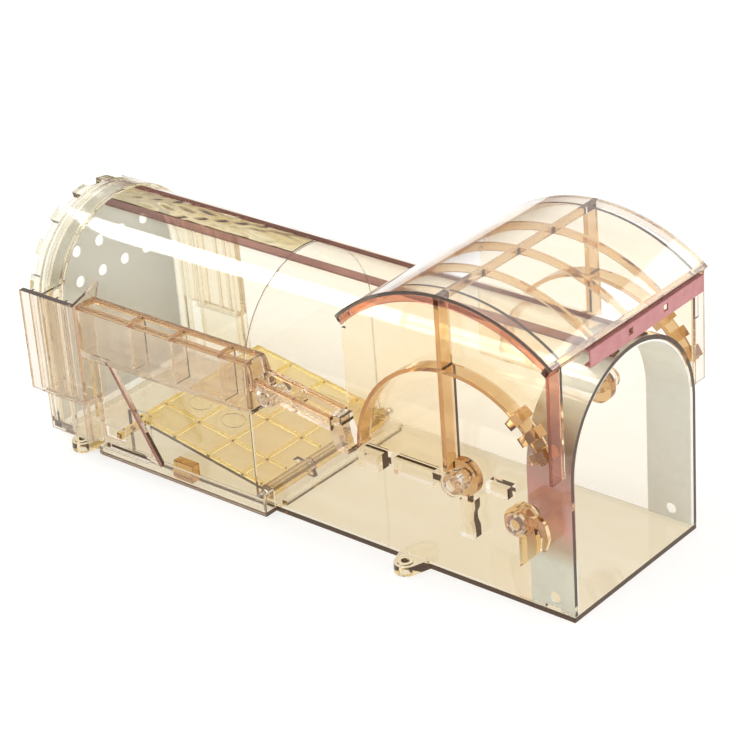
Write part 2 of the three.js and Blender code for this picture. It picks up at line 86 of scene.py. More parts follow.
HOOD_LOW, HOOD_HIGH = box("hood")
PIVOT = pivot("hood_hinge")
HOOD_R = HOOD_HIGH.z - PIVOT.z
HOOD_HALF_W = HOOD_HIGH.y
HOOD_T = 1.6
HOOD_DEGS = (52.0, 134.0)
SIDE_Y = 46.3
SIDE_T = 1.6
SIDE_REAR = HOOD_LOW.x - PIVOT.x
SIDE_FRONT = 50.4
SIDE_LOW = -1.0
LEG_LOW = 14.0
LEG_BACK = 44.0
RIB_INNER_R = 80.2
SPOKE = (-5.4, -3.0)
RING_R = 50.0
RING_T = 1.8
RING_DEGS = (26, 178)
TOOTH_RS = (45.6, 54.6)
TOOTH_DEGS = (50, 40, 30)
TOOTH_HALF_DEG = 2.6
ARC_RIB_YS = (-24, 0, 24)
STRIP_T = 0.8
STRIP_HOLE_YS = (-12.5, 12.5)   # from the strip's middle
BOSS_R = 8.4
BOSS_Y = 50.0

PAWL = pivot("pawl_hinge")
PAWL_HUB_R = 7.0
PIN_LOW, PIN_HIGH = box("hood_pin_near")
PIN_R = 3.0
PIN_SLEEVE_R = 4.6
PIN_RIM_R = (PIN_HIGH.x - PIN_LOW.x) / 2
PIN_BORE_R = 2.4
PIN_END_Y = -PIN_LOW.y

LEVER = pivot("lever_hinge")
LEVER_LOW, LEVER_HIGH = box("trip_lever")
LEVER_YS = (LEVER_LOW.y, LEVER_HIGH.y)
LEVER_WALL = 1.5
LEVER_STEP_X = -9.0
LEVER_PIN_R = 2.0

TREADLE = pivot("treadle_hinge")
TREADLE_TILT = math.radians(9.5)
TREADLE_L = 80.0
TREADLE_HALF_W = box("treadle")[1].y
TREADLE_T = 1.6
SHAFT_R = 1.6

CAP_LOW, CAP_HIGH = box("rear_cap")
CAP_STEP_X = -152.0


# ---- solids ---------------------------------------------------------------------------------------
def link(name, bm):
    bmesh.ops.recalc_face_normals(bm, faces=bm.faces)
    mesh = bpy.data.meshes.new(name)
    bm.to_mesh(mesh)
    bm.free()
    piece = bpy.data.objects.new(name, mesh)
    bpy.context.scene.collection.objects.link(piece)
    return piece


def prism(outline, place, a, b):
    """An outline of (u, v) points, extruded from a to b. place(u, v, w) says where a point goes."""
    bm = bmesh.new()
    ends = [[bm.verts.new(Vector(place(u, v, w)) * MM) for u, v in outline] for w in (a, b)]
    bm.faces.new(ends[0])
    bm.faces.new(ends[1])
    for i in range(len(outline)):
        j = (i + 1) % len(outline)
        bm.faces.new((ends[0][i], ends[0][j], ends[1][j], ends[1][i]))
    return link("solid", bm)


def across_y(outline, y0, y1):
    return prism(outline, lambda u, v, w: (u, w, v), y0, y1)


def along_x(outline, x0, x1):
    return prism(outline, lambda u, v, w: (w, u, v), x0, x1)


def up_z(outline, z0, z1):
    return prism(outline, lambda u, v, w: (u, v, w), z0, z1)


def block(x0, x1, y0, y1, z0, z1):
    return up_z([(x0, y0), (x1, y0), (x1, y1), (x0, y1)], z0, z1)


def arc(u, v, r, a0, a1, step=2.5):
    count = max(2, math.ceil(abs(a1 - a0) / step) + 1)
    angles = np.radians(np.linspace(a0, a1, count))
    return [(u + r * math.cos(a), v + r * math.sin(a)) for a in angles]


def circle(u, v, r, sides=48):
    return arc(u, v, r, 0, 360 - 360 / sides, 360 / sides)


def sector(u, v, r0, r1, a0, a1, step=1.5):
    return arc(u, v, r1, a0, a1, step) + arc(u, v, r0, a1, a0, step)


def rod_y(x, z, r, y0, y1, sides=48):
    return across_y(circle(x, z, r, sides), y0, y1)


def horseshoe(inset, low):
    """The tunnel's section, drawn in by inset from its outside, from low up."""
    r = HALF_W - inset
    return [(-r, low), (r, low)] + arc(0, ROOF_Z, r, 0, 180)


def flat(pieces):
    found = []
    for piece in pieces:
        found += flat(piece) if isinstance(piece, (list, tuple)) else [piece]
    return found


def combine(base, others, operation):
    others = flat(others)
    group = bpy.data.collections.new("tools")
    bpy.context.scene.collection.children.link(group)
    for other in others:
        group.objects.link(other)
    modifier = base.modifiers.new("combine", "BOOLEAN")
    modifier.solver = "MANIFOLD"
    modifier.operation = operation
    modifier.operand_type = "COLLECTION"
    modifier.collection = group
    made = bpy.data.meshes.new_from_object(base.evaluated_get(bpy.context.evaluated_depsgraph_get()))
    base.modifiers.remove(modifier)
    base.data = made
    for other in others:
        bpy.data.objects.remove(other)
    bpy.data.collections.remove(group)
    return base


def join(*pieces):
    first, *rest = flat(pieces)
    return combine(first, rest, "UNION") if rest else first


def cut(base, *tools):
    return combine(base, tools, "DIFFERENCE")


def common(base, other):
    return combine(base, [other], "INTERSECT")


def moved(piece, matrix):
    piece.data.transform(matrix)
    if matrix.determinant() < 0:
        piece.data.flip_normals()
    return piece


def mirrored(piece):
    return moved(piece, Matrix.Scale(-1, 4, (0, 1, 0)))


def twin(build):
    """The piece that build() makes, and its mirror image."""
    return [build(), mirrored(build())]


def finished(name, piece, body, node, material, edge=0.3):
    """Names a solid, rounds its edges, and puts it in the place of its CAD node."""
    piece.name = name
    piece.data.name = name
    bm = bmesh.new()
    bm.from_mesh(piece.data)
    bmesh.ops.remove_doubles(bm, verts=bm.verts, dist=0.01 * MM)
    bmesh.ops.dissolve_limit(bm, angle_limit=math.radians(0.4), verts=bm.verts, edges=bm.edges)
    bm.to_mesh(piece.data)
    bm.free()
    piece.data.materials.clear()
    piece.data.materials.append(material)
    piece.data.shade_smooth()
    piece.data.set_sharp_from_angle(angle=math.radians(30))
    if edge:
        bevel = piece.modifiers.new("edge", "BEVEL")
        bevel.width = edge * MM
        bevel.segments = 2
        bevel.limit_method = "ANGLE"
        bevel.angle_limit = math.radians(35)
        bevel.use_clamp_overlap = True
        bevel.harden_normals = True
    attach(piece, body)
    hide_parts(node)
    return piece


# ---- materials ------------------------------------------------------------------------------------
def add_node(tree, kind, **values):
    made = tree.nodes.new(kind)
    for name, value in values.items():
        if hasattr(made, name):
            setattr(made, name, value)
        else:
            made.inputs[name.replace("_", " ")].default_value = value
    return made


def ramp(tree, factor, stops):
    made = tree.nodes.new("ShaderNodeValToRGB")
    elements = made.color_ramp.elements
    while len(elements) < len(stops):
        elements.new(0.5)
    for element, (position, colour) in zip(elements, stops):
        element.position = position
        element.color = (*colour, 1)
    tree.links.new(factor, made.inputs["Fac"])
    return made.outputs["Color"]


def noise(tree, stretch, scale, detail=3.0, roughness=0.5, distortion=0.0):
    """Noise on the object's own coordinates in metres, stretched along its axes."""
    where = add_node(tree, "ShaderNodeTexCoord")
    turn = add_node(tree, "ShaderNodeMapping")
    turn.inputs["Scale"].default_value = stretch
    tree.links.new(where.outputs["Object"], turn.inputs["Vector"])
    made = add_node(tree, "ShaderNodeTexNoise", Scale=scale, Detail=detail, Roughness=roughness)
    made.inputs["Distortion"].default_value = distortion
    tree.links.new(turn.outputs["Vector"], made.inputs["Vector"])
    return made.outputs["Fac"]


def spread(tree, value, low, high):
    made = add_node(tree, "ShaderNodeMapRange")
    made.inputs["To Min"].default_value = low
    made.inputs["To Max"].default_value = high
    tree.links.new(value, made.inputs["Value"])
    return made.outputs["Result"]


def bump(tree, height, distance, under=None):
    made = add_node(tree, "ShaderNodeBump", Strength=1.0, Distance=distance)
    tree.links.new(height, made.inputs["Height"])
    if under:
        tree.links.new(under, made.inputs["Normal"])
    return made.outputs["Normal"]


def material(name):
    made = bpy.data.materials.new(name)
    made.use_nodes = True
    return made, made.node_tree, made.node_tree.nodes["Principled BSDF"]


# painted glow: the plastic's emission colour and strength below make it glow faintly, so cut edges render
# brown rather than black
EDGE_GLOW_COLOUR = (1.0, 0.60, 0.36, 1)
EDGE_GLOW = 0.008               # emission that keeps cut edges brown rather than black in the render


def clear_plastic(name, tints, loss, waviness=0.05):
    """Clear moulded plastic: tints colour each wall, and loss is what each metre takes out of
    red, green and blue."""
    made, tree, shader = material(name)
    shader.inputs["Transmission Weight"].default_value = 1.0
    shader.inputs["IOR"].default_value = 1.5
    # a faint painted glow, which keeps cut edges brown rather than black
    shader.inputs["Emission Color"].default_value = EDGE_GLOW_COLOUR
    shader.inputs["Emission Strength"].default_value = EDGE_GLOW
    flow = noise(tree, (0.35, 1, 1), 38, 2, 0.5, 1.6)
    tree.links.new(ramp(tree, flow, [(0.3, tints[0]), (0.7, tints[1])]), shader.inputs["Base Color"])
    scuffs = noise(tree, (1, 4, 4), 420, 4, 0.65)
    tree.links.new(spread(tree, scuffs, 0.0, 0.04), shader.inputs["Roughness"])
    swell = bump(tree, noise(tree, (0.6, 1, 1), 55, 1), waviness * MM)
    tree.links.new(bump(tree, scuffs, 0.002 * MM, swell), shader.inputs["Normal"])
    density = max(loss) * 1.05
    absorb = add_node(tree, "ShaderNodeVolumeAbsorption", Density=density)
    absorb.inputs["Color"].default_value = (*[1 - part / density for part in loss], 1)
    tree.links.new(absorb.outputs["Volume"], tree.nodes["Material Output"].inputs["Volume"])
    return made


STEEL_GLOW_COLOUR = (0.92, 0.95, 0.88, 1)


def brushed_metal(name, colours, grain, rough, metallic=1.0, glow=0.0):
    """Sheet metal with a drawn grain and faint spotting; glow lightens it behind tinted walls."""
    made, tree, shader = material(name)
    shader.inputs["Metallic"].default_value = metallic
    shader.inputs["Emission Color"].default_value = STEEL_GLOW_COLOUR
    shader.inputs["Emission Strength"].default_value = glow
    spots = noise(tree, (1, 1, 1), 160, 5, 0.7)
    tree.links.new(ramp(tree, spots, [(0.3, colours[0]), (0.72, colours[1])]), shader.inputs["Base Color"])
    lines = noise(tree, grain, 700, 3, 0.6)
    tree.links.new(spread(tree, lines, rough - 0.08, rough + 0.1), shader.inputs["Roughness"])
    tree.links.new(bump(tree, lines, 0.01 * MM), shader.inputs["Normal"])
    return made


MIX_FACTOR, MIX_A, MIX_B, MIX_RESULT = 0, 6, 7, 2      # a colour Mix node's sockets


def mixed(tree, factor, a, b, how="MIX"):
    made = add_node(tree, "ShaderNodeMix", data_type="RGBA", blend_type=how)
    for socket, source in ((MIX_FACTOR, factor), (MIX_A, a), (MIX_B, b)):
        tree.links.new(source, made.inputs[socket])
    return made.outputs[MIX_RESULT]


def along(tree, axis, start, end):
    """0 where the object's own coordinate is start, 1 where it is end, both in millimetres."""
    where = add_node(tree, "ShaderNodeTexCoord")
    parts = add_node(tree, "ShaderNodeSeparateXYZ")
    tree.links.new(where.outputs["Object"], parts.inputs["Vector"])
    made = add_node(tree, "ShaderNodeMapRange")
    made.inputs["From Min"].default_value = start * MM
    made.inputs["From Max"].default_value = end * MM
    tree.links.new(parts.outputs[axis], made.inputs["Value"])
    return made.outputs["Result"]


def liner_metal():
    """Satin galvanised sheet with a faint painted glow, and a painted reflection of the rose strip in brown
    and pink bands up its near leg.
    """
    made = brushed_metal("liner_steel", [(0.84, 0.86, 0.80), (0.94, 0.95, 0.91)], (0.06, 1, 1),
                         0.4, 0.5, 0.08)
    tree = made.node_tree
    shader = tree.nodes["Principled BSDF"]
    plain = shader.inputs["Base Color"].links[0].from_socket
    # painted reflection: brown and pink bands of the rose strip's reflection, with pale bands, up the near
    # leg only
    painted_reflection = ramp(tree, along(tree, "Z", 15, 95), [
        (0.12, (0.93, 0.98, 1.0)), (0.22, (0.66, 0.46, 0.30)), (0.34, (0.90, 0.40, 0.40)),
        (0.56, (0.72, 0.24, 0.22)), (0.74, (0.36, 0.17, 0.13)), (0.95, (1.0, 0.88, 0.74))])
    near = along(tree, "Y", -26, -35)
    both = mixed(tree, near, plain, mixed(tree, near, plain, painted_reflection, "MULTIPLY"))
    tree.links.new(both, shader.inputs["Base Color"])
    return made


CLEAR = clear_plastic("clear_amber", [(0.965, 0.93, 0.83), (0.985, 0.955, 0.88)], (7, 15, 30))
REAR_CLEAR = clear_plastic("rear_tunnel_clear", [(0.955, 0.955, 0.895), (0.98, 0.98, 0.94)], (7, 11, 19))
FRONT_CLEAR = clear_plastic("front_tunnel_clear", [(0.975, 0.95, 0.875), (0.99, 0.97, 0.91)], (7, 14, 26))
BASE = clear_plastic("base_gold", [(0.95, 0.88, 0.70), (0.97, 0.915, 0.78)], (7, 15, 34))
SIDE = clear_plastic("hood_side_amber", [(0.965, 0.895, 0.74), (0.985, 0.93, 0.81)], (7, 17, 34))
SHEET = clear_plastic("hood_sheet_clear", [(0.955, 0.965, 0.955), (0.985, 0.985, 0.975)], (8, 9, 10), 0.03)
SWIRL = clear_plastic("roof_swirl_gold", [(0.80, 0.70, 0.42), (0.95, 0.91, 0.74)], (40, 70, 130), 0.09)
TAN = clear_plastic("tan_rib", [(0.77, 0.57, 0.34), (0.88, 0.72, 0.49)], (36, 70, 120))
RAIL = clear_plastic("lever_rail_amber", [(0.70, 0.50, 0.28), (0.84, 0.67, 0.43)], (36, 76, 120))
# painted highlight: the near rim's rose colour stands for a pink highlight; the far rim, its mirror image,
# stays clear
ROSY_PAINTED_HIGHLIGHT = clear_plastic("near_rim_painted_pink_highlight", [(0.70, 0.36, 0.26), (0.84, 0.50, 0.38)], (40, 95, 115))
FAR_RIM = clear_plastic("far_rim_clear", [(0.92, 0.86, 0.78), (0.97, 0.93, 0.87)], (20, 34, 48))
# painted: this dark brown stands for a dark reflection on the roof rails and for edge shade on the lever's
# leg
BROWN = clear_plastic("brown_rail", [(0.34, 0.18, 0.15), (0.50, 0.29, 0.24)], (90, 160, 170))
GOLD = clear_plastic("treadle_gold", [(0.90, 0.77, 0.45), (0.95, 0.84, 0.56)], (8, 26, 84))
YELLOW = clear_plastic("treadle_rib_gold", [(1.0, 0.86, 0.42), (1.0, 0.92, 0.56)], (8, 22, 120))
MAUVE = clear_plastic("mauve_clear", [(0.91, 0.865, 0.80), (0.95, 0.915, 0.86)], (14, 23, 32))
CAP = clear_plastic("cap_clear", [(0.945, 0.935, 0.88), (0.975, 0.97, 0.93)], (14, 18, 32))
PIN = clear_plastic("pin_clear", [(0.95, 0.93, 0.90), (0.98, 0.97, 0.95)], (16, 22, 30), 0.02)
DEEP = clear_plastic("deep_amber", [(0.93, 0.80, 0.56), (0.98, 0.90, 0.72)], (28, 60, 120))
LINER_STEEL = liner_metal()
SCREEN_STEEL = brushed_metal("screen_steel", [(0.86, 0.88, 0.82), (0.95, 0.96, 0.92)],
                             (1, 0.05, 1), 0.5, 0.35, 0.22)
SHAFT_STEEL = brushed_metal("shaft_steel", [(0.40, 0.37, 0.34), (0.58, 0.55, 0.50)], (1, 0.04, 1), 0.3)
ROSE = brushed_metal("rose_strip", [(0.52, 0.22, 0.22), (0.64, 0.31, 0.31)], (1, 0.03, 1), 0.36, 0.7)


# ---- base plate and tunnel ------------------------------------------------------------------------
RAIL_DEGS = (100.0, 105.6)      # the roof's near rail; the far one mirrors it
RAIL_PROUD = 0.9                # how far the rails stand above the roof
AIR = 0.05                      # film of air between two pieces of one moulding


def tunnel_shell(x0, x1):
    return cut(along_x(horseshoe(0, BASE_T + GAP), x0, x1),
               along_x(horseshoe(WALL, -BASE_T), x0 - 1, x1 + 1))


def roof_band():
    """The band between the roof's rails over the rear tunnel, with a rippled top."""
    x0, x1, thick, ripple = REAR_X + COLLAR_L + 1, SEAM_X - 1, 0.55, 0.32
    bm = bmesh.new()
    angles = np.radians(np.linspace(180 - RAIL_DEGS[0] + 1, RAIL_DEGS[0] - 1, 24))
    places = np.linspace(x0, x1, int((x1 - x0) / 1.2))

    def point(x, a, top):
        fade = math.sin(math.pi * (x - x0) / (x1 - x0)) ** 0.5
        wave = math.sin(x / 3.1 + 2.4 * math.sin(a * 17 + x / 9)) * math.sin(a * 23 - x / 6)
        r = HALF_W + AIR + top * (thick + ripple * fade * wave)
        return Vector((x, r * math.cos(a), ROOF_Z + r * math.sin(a))) * MM

    low, high = [[[bm.verts.new(point(x, a, top)) for a in angles] for x in places] for top in (0, 1)]
    for i in range(len(places) - 1):
        for j in range(len(angles) - 1):
            bm.faces.new((high[i][j], high[i + 1][j], high[i + 1][j + 1], high[i][j + 1]))
            bm.faces.new((low[i][j], low[i][j + 1], low[i + 1][j + 1], low[i + 1][j]))
        for j in (0, -1):
            bm.faces.new((low[i][j], low[i + 1][j], high[i + 1][j], high[i][j]))
    for i in (0, -1):
        for j in range(len(angles) - 1):
            bm.faces.new((low[i][j], high[i][j], high[i][j + 1], low[i][j + 1]))
    return link("solid", bm)


# The rails' dark brown is a painted dark reflection running along the roof.
def roof_rails():
    x0, x1 = REAR_X + COLLAR_L + 1, MOUTH_X - 1
    a0, a1 = RAIL_DEGS
    return join([along_x(sector(0, ROOF_Z, HALF_W + AIR, HALF_W + RAIL_PROUD, *degs, 0.8), x0, x1)
                 for degs in ((a0, a1), (180 - a1, 180 - a0))])


def lug(x):
    reach, half, thick, hole_r = 12.0, 8.5, 4.5, 1.9
    out = -HALF_W - reach
    tip = arc(x, out + 5.5, 5.5, 200, 340, 10)
    outline = [(x - half, -HALF_W + 1)] + tip + [(x + half, -HALF_W + 1)]
    seat = block(x - 10, x + 10, -HALF_W - GAP, 0, BASE_T, 3 * BASE_T)
    boss = up_z(circle(x, out + 5, 3.6, 40), 0, thick + 0.6)
    hole = up_z(circle(x, out + 5, hole_r, 32), -1, 3 * thick)
    return cut(join(up_z(outline, 0, thick), boss), seat, hole)


def shaft_ear(y):
    x, z = TREADLE.x, TREADLE.z
    outline = [(x - 4, BASE_T - 1), (x + 5, BASE_T - 1)] + arc(x, z, 3.4, 0, 180, 10)
    return cut(across_y(outline, y - 1.2, y + 1.2), rod_y(x, z, SHAFT_R + RUN, y - 3, y + 3))


def moulding_ring(x, y, z, r):
    """The shallow ring that an ejector pin leaves in a moulded face."""
    return cut(up_z(circle(x, y, r), z - 0.25, z + 1), up_z(circle(x, y, r - 0.6), z - 1, z + 2))


def base_plate():
    plate = block(REAR_X, MOUTH_X, -HALF_W, HALF_W, 0, BASE_T)
    sill = block(SEAM_X + 12, SEAM_X + 15, -HALF_W + 4, HALF_W - 4, BASE_T - 1, BASE_T + 2)
    lugs = [lug(x) for x in LUG_XS]
    ears = [shaft_ear(y) for y in EAR_YS]
    return join(plate, sill, lugs, ears)


def hood_stops():
    """Blocks on the near wall: two that carry the hood's side wall, one that its spoke lands on."""
    y0, y1 = -50.5, -HALF_W + 0.5
    x, z = PIVOT.x, PIVOT.z
    top = z + SIDE_LOW - 0.5
    notched = [(x - 1.5, 27), (x + 5, 27), (x + 5, 32), (x + 3.6, 35),
               (x + 3.6, 38), (x + 5, 41), (x + 5, 45), (x - 1.5, 45)]
    return [block(x - 36, x - 15, y0, y1, z - 9, top),
            block(x + 13, x + 24, y0, y1, z - 2.5, z - SPOKE[1] - 0.5),
            block(x - 53, x - 42, FRONT_LOW.y, y1, z - 9, top),
            across_y(notched, y0, y1)]


def tunnel_front():
    near_wall = (-HALF_W - 9, -HALF_W + WALL + 1)
    return cut(join(tunnel_shell(SEAM_X, MOUTH_X), hood_stops()),
               rod_y(PIVOT.x, PIVOT.z, PIN_R + RUN, -HALF_W - 1, HALF_W + 1),
               rod_y(PAWL.x, PAWL.z, PIN_R + RUN, *near_wall),
               rod_y(LEVER.x, LEVER.z, LEVER_PIN_R + RUN, *near_wall),
               rod_y(TREADLE.x, TREADLE.z, SHAFT_R + RUN, -HALF_W - 1, HALF_W + 1),
               block(MOUTH_X - 15, MOUTH_X - 7, *near_wall, 0, BASE_T + 2))


ARM_AT = -76.5                  # the treadle arm's middle, from the shaft


def tunnel_rear():
    collar = cut(along_x(horseshoe(-COLLAR_T, BASE_T + GAP), REAR_X, REAR_X + COLLAR_L),
                 along_x(horseshoe(WALL, -BASE_T), REAR_X - 1, REAR_X + COLLAR_L + 1))
    arm_x = TREADLE.x + ARM_AT
    slot = block(arm_x - 5, arm_x + 7, -HALF_W - 3, -HALF_W + WALL + 1, 4, 26)
    return cut(join(tunnel_shell(REAR_X, SEAM_X - GAP), collar), slot)


def entrance_liner():
    inset, low = WALL + GAP, BASE_T + GAP
    x0, x1 = MOUTH_X - LINER_L, MOUTH_X - 0.5
    band = cut(along_x(horseshoe(inset, low), x0, x1),
               along_x(horseshoe(inset + LINER_T, -BASE_T), x0 - 1, x1 + 1))
    return cut(band, rod_y(LINER_HOLE["x"], LINER_HOLE["z"], LINER_HOLE["r"], -HALF_W, HALF_W))


# ---- rear end -------------------------------------------------------------------------------------
CAP_WALL_R = 43.5
CAP_LOBE_R = 46.3
CAP_LOBE_INNER_R = 42
CAP_LOBE_L = 6
CAP_LOBE_HALF_DEG = 4.8
CAP_LOBE_DEGS = (14, 36, 58, 80, 100, 122, 144, 166)
SCREEN_INSET = 3.6              # the screen's seat, in from the tunnel's outside
SCREEN_T = 0.8
SCREEN_HOLE_R = 2.7
SCREEN_YS = (-36, -21, -6, 9, 24)
SCREEN_ZS = (69, 84.5)


def rear_cap():
    low, x0, step = BASE_T + GAP, CAP_LOW.x, CAP_STEP_X
    body = [along_x(horseshoe(-COLLAR_T, low), step - 1.4, REAR_X - GAP),
            along_x(horseshoe(WALL + GAP, low), REAR_X - 1, REAR_X + 5),
            along_x(horseshoe(HALF_W - CAP_WALL_R, low), x0, step + 1)]
    body += [along_x(sector(0, ROOF_Z, CAP_LOBE_INNER_R, CAP_LOBE_R,
                            deg - CAP_LOBE_HALF_DEG, deg + CAP_LOBE_HALF_DEG), x0, x0 + CAP_LOBE_L)
             for deg in CAP_LOBE_DEGS]
    seat = along_x(horseshoe(SCREEN_INSET, BASE_T + 2), step, REAR_X + 6)
    window = along_x(horseshoe(7.5, BASE_T + 5.5), step - 2, step + 1)
    recess = along_x(horseshoe(SCREEN_INSET, BASE_T + 2), x0 - 1, step - 1.5)
    return cut(join(body), seat, window, recess)


def rear_screen():
    x0 = CAP_STEP_X + GAP
    inset = SCREEN_INSET + GAP
    plate = along_x(horseshoe(inset, BASE_T + 2 + GAP), x0, x0 + SCREEN_T)
    holes = [along_x(circle(y, z, SCREEN_HOLE_R, 32), x0 - 2, x0 + 3)
             for z in SCREEN_ZS for y in SCREEN_YS
             if math.hypot(y, z - ROOF_Z) + SCREEN_HOLE_R < HALF_W - inset - 1]
    return cut(plate, holes)


def rear_guard(out, low, high):
    """A box-shaped guard beside the rear end; out is how far it stands from the middle."""
    x0, x1 = box("rear_guard_near")[0].x, box("rear_guard_near")[1].x
    end = [(-out, low - 20), (-HALF_W, low - 20), (-HALF_W + 8, high + 6),
           (-HALF_W + 4, high + 6), (-out, high)]
    walls = [block(x0, x1, -out, -out + 3, low, high),
             block(x0 + 8, x1, -out + 2, -out + 3.6, low - 20, low + 1),
             block(x0 + 8, x1, -out + 1, -HALF_W, low, low + 1.6),
             along_x(end, x1 - 1.6, x1),
             block(x0 + 12, x0 + 13.6, -out + 1, -HALF_W, low, high)]
    walls += [block(x, x + 1.2, -out + 2, -out + 4.6, low + 1, high) for x in (x0 + 5, x0 + 21, x0 + 27)]
    return cut(join(walls), along_x(horseshoe(-COLLAR_T - GAP, -1), REAR_X - 6, SEAM_X))


# ---- treadle --------------------------------------------------------------------------------------
TREADLE_RIB_YS = (-40.7, -24, 0, 24, 40.7)
TREADLE_RIB_XS = (-79.2, -58, -37, -16)


def tipped(level):
    """A treadle part drawn level with the shaft on the origin, tipped up about the shaft."""
    return moved(level, Matrix.Translation(TREADLE * MM) @ Matrix.Rotation(TREADLE_TILT, 4, "Y"))


def treadle():
    half, side = TREADLE_T / 2, TREADLE_HALF_W
    plate = block(-TREADLE_L, 0, -side, side, -half, half)
    arm = block(ARM_AT - 1.5, ARM_AT + 1.5, -59, -side + 4, -half, 3 - half)
    barrel = rod_y(0, 0, SHAFT_R + RUN + TREADLE_T, -side, side)
    ear_room = [block(-7.5, 8, y - 1.8, y + 1.8, -8, 8) for y in EAR_YS]
    rings = [moulding_ring(x, y, half, 6) for x in (-47.5, -68) for y in (-12, 12)]
    return tipped(cut(join(plate, arm, barrel), ear_room, rings,
                      rod_y(0, 0, SHAFT_R + RUN, -side - 1, side + 1)))


def treadle_ribs():
    half, side = TREADLE_T / 2, TREADLE_HALF_W
    low, top = half + AIR, half + 1.4
    lengthways = [block(-TREADLE_L, -4.5, y - half, y + half, low, top) for y in TREADLE_RIB_YS]
    crossways = [block(x - half, x + half, -side, side, low, top) for x in TREADLE_RIB_XS]
    arm_room = block(ARM_AT - 1.6, ARM_AT + 1.6, -60, -side + 4.1, 0, 9)
    return tipped(cut(join(lengthways, crossways), arm_room))


def treadle_guard():
    (x0, _, _), (x1, _, _) = box("treadle_guard")
    skirt = [(x0, 0), (x1, 0), (x1, 8), (-82, 8), (-88, 4.5), (x0, 4.5)]
    inner = -HALF_W - GAP
    return join(across_y(skirt, -52, -50.5), block(x0, x1, -51, inner, 0, 1.5),
                block(x1 - 1.6, x1, -51, inner, 0, 11), block(x0, x0 + 1.6, -51, inner, 0, 4.5))


def treadle_stop():
    low, high = box("treadle_stop")
    return block(low.x, high.x, low.y, high.y, low.z, high.z)


def treadle_shaft():
    low, high = box("treadle_shaft")
    return join(rod_y(TREADLE.x, TREADLE.z, SHAFT_R, low.y + 0.6, high.y - 0.6),
                rod_y(TREADLE.x, TREADLE.z, SHAFT_R - 0.4, low.y, high.y))


# ---- trip lever -----------------------------------------------------------------------------------
def lever_top(x):
    return 76 - 0.14 * (x - LEVER_STEP_X)


def lever_pocket(x0, x1, low0, low1):
    return across_y([(x0, low0), (x1, low1), (x1, 100), (x0, 100)],
                    LEVER_YS[0] + LEVER_WALL, LEVER_YS[1] - LEVER_WALL)


LEVER_LEG = ((-109, 58), (-99, 58), (-71.5, 12.5), (-71.5, 11), (-84, 13.5), (-109, 14))
LEG_YS = (-58.2, -56.2)
LEVER_BOSS_R = 4.2
LEVER_LOW_Z = 56.0
LEVER_FRONT_X = 36.5
LEVER_TOP_Z = LEVER_HIGH.z - 0.5
DEEP_RIBS = (-80.5, -55, -26)
RAIL_W = 2.9                    # the lever's top rails
RAIL_H = 1.7


def lever_rails(grow):
    """The rails round the trough's top, its cross ribs' tops and the near wall's front edge."""
    y0, y1 = LEVER_YS
    rear, step, top = LEVER_LOW.x, LEVER_STEP_X, LEVER_TOP_Z
    g = grow

    def bar(x0, x1, ya, yb, z_from, z_to):
        return block(x0 - g, x1 + g, ya - g, yb + g, z_from - g, z_to + g)

    def slope(x0, x1, ya, yb, h):
        ends = [(x0 - g, lever_top(x0) - h - g), (x1 + g, lever_top(x1) - h - g),
                (x1 + g, lever_top(x1) + g), (x0 - g, lever_top(x0) + g)]
        return across_y(ends, ya - g, yb + g)

    deep_low = top - 0.5 - RAIL_H
    pieces = [bar(rear, step, ya, yb, deep_low, top - 0.5)
              for ya, yb in ((y0, y0 + RAIL_W), (y1 - RAIL_W, y1))]
    pieces += [bar(x - 1.1, x + 1.1, y0 + 1, y1 - 1, deep_low - 0.6, top - 0.5)
               for x in (rear + 1.1, *DEEP_RIBS)]
    pieces += [bar(step - 1.6, step, y0, y0 + 1.6, LEVER_LOW_Z + 4, top - 0.5),
               bar(step - 1.6, step, y1 - 2.4, y1, LEVER_LOW_Z + 12, top - 0.5)]
    pieces += [slope(step + 3, LEVER_FRONT_X, ya, yb, RAIL_H)
               for ya, yb in ((y0, y0 + 2.2), (y1 - 2.2, y1))]
    return join(pieces)


def trip_lever():
    y0, y1 = LEVER_YS
    rear_x, low_z, top_z = LEVER_LOW.x, LEVER_LOW_Z, LEVER_TOP_Z
    front_x, nose_x, step = LEVER_FRONT_X, LEVER_HIGH.x, LEVER_STEP_X
    side = [(rear_x, low_z), (step, low_z + 1.5), (step, lever_top(step) - 6.5),
            (front_x, lever_top(front_x) - 6.5), (front_x, lever_top(front_x)),
            (step + 3, lever_top(step + 3)), (step, top_z - 0.5), (rear_x, top_z - 0.5)]
    half = LEVER_WALL / 2
    deep = [rear_x + half, *DEEP_RIBS, step - half]
    shallow = [step + 6, 15, front_x - half]
    pockets = [lever_pocket(a + half, b - half, low_z + 3, low_z + 3) for a, b in zip(deep, deep[1:])]
    pockets += [lever_pocket(a + half, b - half, lever_top(a + half) - 5, lever_top(b - half) - 5)
                for a, b in zip(shallow, shallow[1:])]
    nose = [(front_x - 1, lever_top(front_x)), (front_x - 1, 57), (front_x + 1, 53), (nose_x, 53),
            (nose_x, 60), (nose_x - 2.5, 66), (nose_x - 2.5, lever_top(front_x))]
    leg_x = TREADLE.x + ARM_AT
    leg = cut(across_y(LEVER_LEG, *LEG_YS),
              block(leg_x - 8.5, leg_x + 4.2, -60, -55, 16.6, 22.6))
    stem = across_y([(-109, 58), (-105.5, 58), (-105.5, 25), (-109, 25)], y0, LEG_YS[1])
    solid = join(across_y(side, y0, y1), rod_y(LEVER.x, LEVER.z, LEVER_BOSS_R, y0, y1),
                 across_y(nose, -58, -50.2), leg, stem)
    return cut(solid, pockets, lever_rails(AIR),
               rod_y(LEVER.x, LEVER.z, LEVER_PIN_R + RUN, y0 - 1, y1 + 1))


